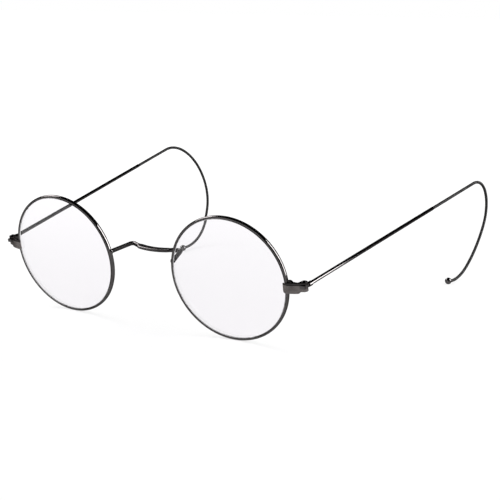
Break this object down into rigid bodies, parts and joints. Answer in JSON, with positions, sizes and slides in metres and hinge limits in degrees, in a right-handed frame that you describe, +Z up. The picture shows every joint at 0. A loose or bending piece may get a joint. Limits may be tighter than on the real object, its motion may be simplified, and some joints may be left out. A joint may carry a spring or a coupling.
{
  "type": "round eyeglasses",
  "caption": "Round wire eyeglasses with a saddle bridge, screwed hinge joints and temples that end in flexible wound ear cables.",
  "frame": {"origin": "point on the table under the lens centre line's mid point as the glasses stand open, midway between the two rims", "axes": "+X towards the wearer's left, +Y back along the temples, +Z up from the table that the rims and ball tips stand on"},
  "size_m": [0.1394, 0.1431, 0.0435],
  "materials": {
    "gunmetal": "polished gunmetal plating, dark with a slight brown cast",
    "solder_grey": "duller gunmetal plating over cast and soldered blocks",
    "screw_black": "blackened steel, satin",
    "lens_glass": "clear, polished, with a very pale lavender coating",
    "cable_winding": "fine round wire wound turn on turn, plated gunmetal",
    "core_steel": "drawn spring steel wire",
    "tip_metal": "polished gunmetal plating"
  },
  "bodies": {
    "front": {"rim_left": "gunmetal", "rim_right": "gunmetal", "lens_left": "lens_glass", "lens_right": "lens_glass", "saddle_bridge": "gunmetal", "upper_block_left": "gunmetal", "upper_block_right": "gunmetal", "lower_block_left": "solder_grey", "lower_block_right": "solder_grey", "hinge_screw_left": "screw_black", "hinge_screw_right": "screw_black"},
    "temple_left": {"temple_joint_left": "solder_grey", "temple_wire_left": "gunmetal", "cable_core_left": "core_steel", "ear_cable_left": "cable_winding", "ball_tip_left": "tip_metal"},
    "temple_right": {"temple_joint_right": "solder_grey", "temple_wire_right": "gunmetal", "cable_core_right": "core_steel", "ear_cable_right": "cable_winding", "ball_tip_right": "tip_metal"}
  },
  "joints": [
    {"name": "left_temple_fold", "type": "hinge", "parent": "front", "child": "temple_left", "pos_m": [0.06063, 0.00236, 0.02234], "axis": [0, -0.1928, 0.9812], "range_deg": [0, 91]},
    {"name": "right_temple_fold", "type": "hinge", "parent": "front", "child": "temple_right", "pos_m": [-0.06063, 0.00217, 0.02327], "axis": [0, 0.1928, -0.9812], "range_deg": [0, 91]}
  ]
}
